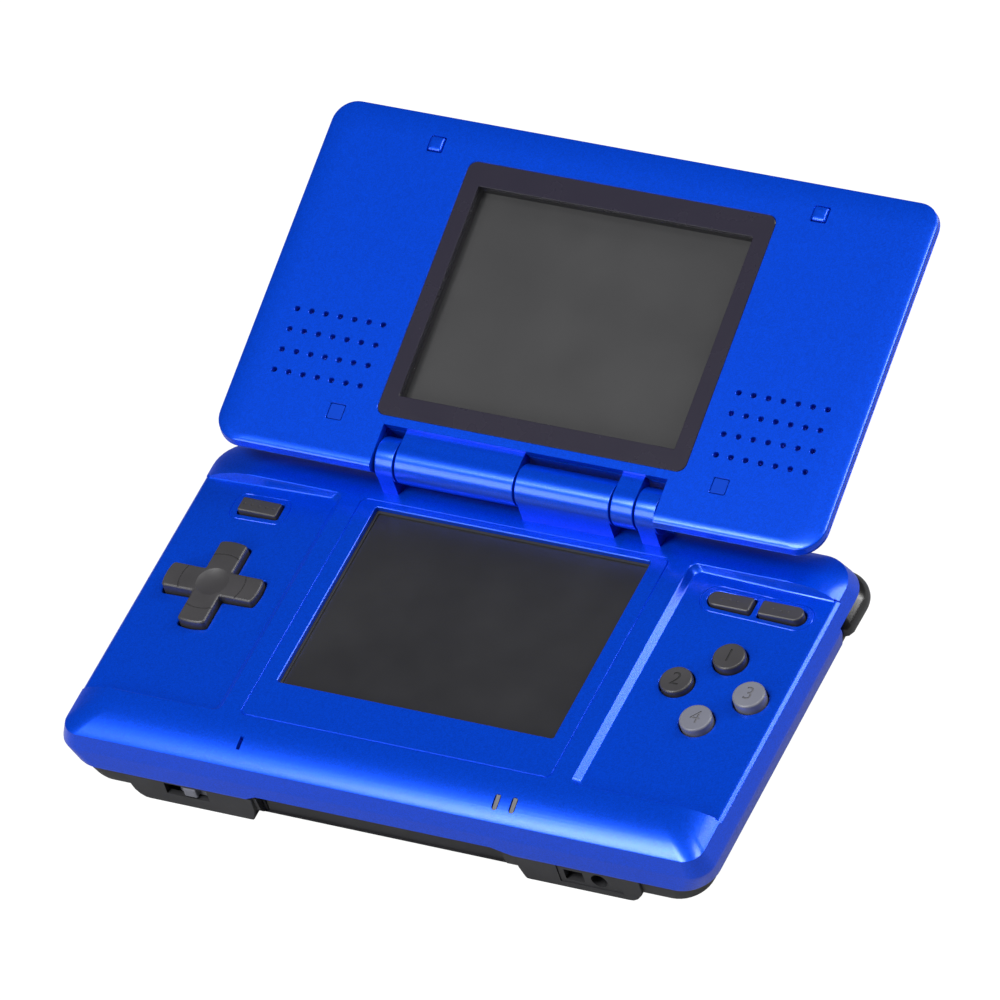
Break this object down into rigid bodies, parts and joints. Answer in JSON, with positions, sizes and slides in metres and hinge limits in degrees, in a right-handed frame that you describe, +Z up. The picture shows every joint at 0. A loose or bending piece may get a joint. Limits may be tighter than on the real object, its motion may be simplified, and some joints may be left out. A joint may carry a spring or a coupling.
{
  "type": "clamshell handheld game console",
  "caption": "Clamshell handheld console: keyed base with a touch screen, lid with a second screen on a hinge, shoulder keys, stylus, card slots and sockets.",
  "frame": {"origin": "middle of the footprint of the open console, at the level of its feet", "axes": "+X to the user's right along the hinge, +Y away from the user, +Z up; the base lies flat and the lid is turned right back"},
  "size_m": [0.1486, 0.1476, 0.0478],
  "materials": {
    "shell_blue": "satin flake",
    "dark_plastic": "fine grain",
    "key_dark": "satin",
    "key_light": "satin",
    "gloss_black": "polished",
    "lens_dark": "polished",
    "screen_dark": "satin",
    "rubber": "matt",
    "steel": "satin",
    "board": "satin",
    "battery_wrap": "satin",
    "ribbon": "satin"
  },
  "bodies": {
    "base": {"base_top_shell": "shell_blue", "base_bottom_shell": "dark_plastic", "touch_gasket": "rubber", "touch_panel": "screen_dark", "lower_lcd": "steel", "main_board": "board", "board_shield": "steel", "battery": "battery_wrap", "battery_cover": "dark_plastic", "battery_cover_screw": "steel", "case_screws": "steel", "rear_feet": "rubber", "card_slot": "dark_plastic", "cartridge_slot": "dark_plastic", "stylus_silo": "dark_plastic", "dpad_membrane": "rubber", "face_button_membrane": "rubber", "start_select_membrane": "rubber", "power_switch": "steel", "volume_switch_body": "steel", "audio_port": "dark_plastic", "power_inlet": "dark_plastic", "light_pipes": "key_light", "microphone": "steel", "wireless_module": "board", "shoulder_pins": "steel", "shoulder_springs": "steel", "shoulder_switches": "steel", "hinge_pin_left": "steel", "hinge_pin_right": "steel", "display_ribbon": "ribbon"},
    "lid": {"lid_inner_shell": "shell_blue", "lid_outer_shell": "shell_blue", "upper_lens": "lens_dark", "upper_lcd": "screen_dark", "speaker_left": "steel", "speaker_right": "steel", "lid_bumpers": "rubber", "lid_caps": "shell_blue", "lid_screws": "steel", "hinge_cam_unit": "steel"},
    "dpad": {"dpad": "key_dark"},
    "key_top": {"face_button_top": "key_dark"},
    "key_left": {"face_button_left": "key_dark"},
    "key_right": {"face_button_right": "key_light"},
    "key_bottom": {"face_button_bottom": "key_light"},
    "key_select": {"select_button": "key_dark"},
    "key_start": {"start_button": "key_dark"},
    "key_power": {"power_button": "key_dark"},
    "slider": {"volume_slider": "key_light"},
    "stylus": {"stylus": "dark_plastic"},
    "slot_cover": {"slot_cover": "dark_plastic"},
    "trigger_left": {"shoulder_left": "gloss_black"},
    "trigger_right": {"shoulder_right": "gloss_black"},
    "pad_carrier": {"dpad_pivot": "steel"}
  },
  "joints": [
    {"name": "lid_hinge", "type": "hinge", "parent": "base", "child": "lid", "pos_m": [0, 0.00375, 0.02325], "axis": [1, 0, 0], "range_deg": [0, 163.9]},
    {"name": "pad_tilt_x", "type": "hinge", "parent": "base", "child": "pad_carrier", "pos_m": [-0.0565, -0.0308, 0.01295], "axis": [1, 0, 0], "range_deg": [-2, 2], "stiffness_Nm_per_rad": 0.08},
    {"name": "pad_tilt_y", "type": "hinge", "parent": "pad_carrier", "child": "dpad", "pos_m": [-0.0565, -0.0308, 0.01295], "axis": [0, 1, 0], "range_deg": [-2, 2], "stiffness_Nm_per_rad": 0.08},
    {"name": "top_key_press", "type": "slide", "parent": "base", "child": "key_top", "axis": [0, 0, -1], "range_m": [0, 0.0006], "stiffness_N_per_m": 700},
    {"name": "left_key_press", "type": "slide", "parent": "base", "child": "key_left", "axis": [0, 0, -1], "range_m": [0, 0.0006], "stiffness_N_per_m": 700},
    {"name": "right_key_press", "type": "slide", "parent": "base", "child": "key_right", "axis": [0, 0, -1], "range_m": [0, 0.0006], "stiffness_N_per_m": 700},
    {"name": "bottom_key_press", "type": "slide", "parent": "base", "child": "key_bottom", "axis": [0, 0, -1], "range_m": [0, 0.0006], "stiffness_N_per_m": 700},
    {"name": "select_press", "type": "slide", "parent": "base", "child": "key_select", "axis": [0, 0, -1], "range_m": [0, 0.0006], "stiffness_N_per_m": 700},
    {"name": "start_press", "type": "slide", "parent": "base", "child": "key_start", "axis": [0, 0, -1], "range_m": [0, 0.0006], "stiffness_N_per_m": 700},
    {"name": "power_press", "type": "slide", "parent": "base", "child": "key_power", "axis": [0, 0, -1], "range_m": [0, 0.0006], "stiffness_N_per_m": 700},
    {"name": "volume_slide", "type": "slide", "parent": "base", "child": "slider", "axis": [1, 0, 0], "range_m": [-0.0025, 0.0015]},
    {"name": "stylus_draw", "type": "slide", "parent": "base", "child": "stylus", "axis": [0, 1, 0], "range_m": [0, 0.078]},
    {"name": "slot_cover_draw", "type": "slide", "parent": "base", "child": "slot_cover", "axis": [0, -1, 0], "range_m": [0, 0.04]},
    {"name": "right_trigger_press", "type": "hinge", "parent": "base", "child": "trigger_right", "pos_m": [0.0602, 0.00615, 0.011], "axis": [0, 0, -1], "range_deg": [0, 4], "stiffness_Nm_per_rad": 0.12},
    {"name": "left_trigger_press", "type": "hinge", "parent": "base", "child": "trigger_left", "pos_m": [-0.0602, 0.00615, 0.011], "axis": [0, 0, 1], "range_deg": [0, 4], "stiffness_Nm_per_rad": 0.12}
  ]
}
